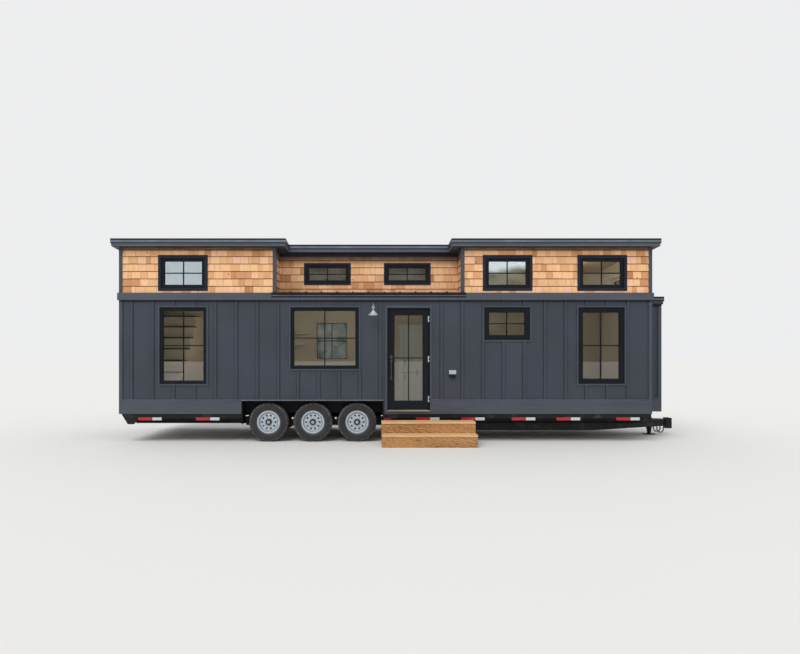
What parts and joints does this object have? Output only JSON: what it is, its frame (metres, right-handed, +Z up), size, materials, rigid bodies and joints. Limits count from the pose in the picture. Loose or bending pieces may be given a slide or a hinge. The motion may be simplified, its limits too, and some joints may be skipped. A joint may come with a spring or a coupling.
{
  "type": "tiny house on wheels",
  "caption": "Narrow timber tiny house on a triple-axle trailer, with board-and-batten walls, shingled lofts, a notched low-slope roof, glazed door and wooden entry steps.",
  "frame": {"origin": "centre of the footprint's box, at ground level", "axes": "+X along the house towards the hitch, -Y out of the door side, +Z up"},
  "size_m": [11.474, 3.476, 3.932],
  "materials": {
    "frame_paint": "satin black chassis paint",
    "siding": "painted board-and-batten siding, satin",
    "trim_paint": "painted trim, satin",
    "cedar": "clear cedar shingles",
    "black_trim": "black window and door frames, satin",
    "roof_metal": "dark ribbed roof metal",
    "soffit": "black soffit",
    "glass": "clear sealed panes",
    "hinge_steel": "satin steel",
    "galvanised": "galvanised steel",
    "outlet_plastic": "grey weather cover",
    "sill": "brushed sill",
    "interior_paint": "white painted boards",
    "tread_black": "black stair treads",
    "step_wood": "new pine boards",
    "floor_wood": "wood floor",
    "liner": "black wheel-well liner",
    "tyre": "ribbed trailer tyre",
    "wheel_silver": "silver steel wheel",
    "handle_black": "matt black door furniture"
  },
  "bodies": {
    "house": {"side_rails": "frame_paint", "cross_members": "frame_paint", "main_beams": "frame_paint", "tongue": "frame_paint", "coupler": "frame_paint", "safety_chains": "galvanised", "jack": "frame_paint", "axles": "frame_paint", "leaf_springs": "frame_paint", "spring_hangers": "frame_paint", "wheel_wells": "liner", "floor": "floor_wood", "front_wall_left": "siding", "front_wall_right": "siding", "front_wall_over_door": "siding", "upper_front_walls": "cedar", "notch_wall": "cedar", "back_wall": "siding", "end_walls": "siding", "roof_deck": "soffit", "roof_sheets": "roof_metal", "fascia": "trim_paint", "ledge_roof": "roof_metal", "belly_band": "trim_paint", "skirt_boards": "trim_paint", "corner_boards": "trim_paint", "lower_casings": "trim_paint", "upper_casings": "black_trim", "window_frames": "black_trim", "window_glass": "glass", "door_frame": "black_trim", "door_casings": "trim_paint", "threshold": "sill", "hinge_leaves": "hinge_steel", "wall_lamp": "galvanised", "outlet_cover": "outlet_plastic", "closet_walls": "siding", "closet_roof": "roof_metal", "kitchen_fittings": "interior_paint", "loft_floors": "interior_paint", "stair_body": "interior_paint", "stair_treads": "tread_black", "step_treads": "step_wood", "step_frame": "step_wood"},
    "door": {"door_leaf": "black_trim", "door_glass": "glass", "door_handle": "handle_black", "door_hinges": "hinge_steel"},
    "front_wheel_1": {"tyre_front_1": "tyre", "wheel_front_1": "wheel_silver"},
    "front_wheel_2": {"tyre_front_2": "tyre", "wheel_front_2": "wheel_silver"},
    "front_wheel_3": {"tyre_front_3": "tyre", "wheel_front_3": "wheel_silver"},
    "back_wheel_1": {"tyre_back_1": "tyre", "wheel_back_1": "wheel_silver"},
    "back_wheel_2": {"tyre_back_2": "tyre", "wheel_back_2": "wheel_silver"},
    "back_wheel_3": {"tyre_back_3": "tyre", "wheel_back_3": "wheel_silver"}
  },
  "joints": [
    {"name": "door_swing", "type": "hinge", "parent": "house", "child": "door", "pos_m": [0.388, -0.967, 1.615], "axis": [0, 0, 1], "range_deg": [0, 120]},
    {"name": "front_wheel_1_spin", "type": "hinge", "parent": "house", "child": "front_wheel_1", "pos_m": [-2.733, -0.8155, 0.38], "axis": [0, 1, 0], "continuous": true},
    {"name": "front_wheel_2_spin", "type": "hinge", "parent": "house", "child": "front_wheel_2", "pos_m": [-1.867, -0.8155, 0.38], "axis": [0, 1, 0], "continuous": true},
    {"name": "front_wheel_3_spin", "type": "hinge", "parent": "house", "child": "front_wheel_3", "pos_m": [-1.001, -0.8155, 0.38], "axis": [0, 1, 0], "continuous": true},
    {"name": "back_wheel_1_spin", "type": "hinge", "parent": "house", "child": "back_wheel_1", "pos_m": [-2.733, 1.4195, 0.38], "axis": [0, 1, 0], "continuous": true},
    {"name": "back_wheel_2_spin", "type": "hinge", "parent": "house", "child": "back_wheel_2", "pos_m": [-1.867, 1.4195, 0.38], "axis": [0, 1, 0], "continuous": true},
    {"name": "back_wheel_3_spin", "type": "hinge", "parent": "house", "child": "back_wheel_3", "pos_m": [-1.001, 1.4195, 0.38], "axis": [0, 1, 0], "continuous": true}
  ]
}
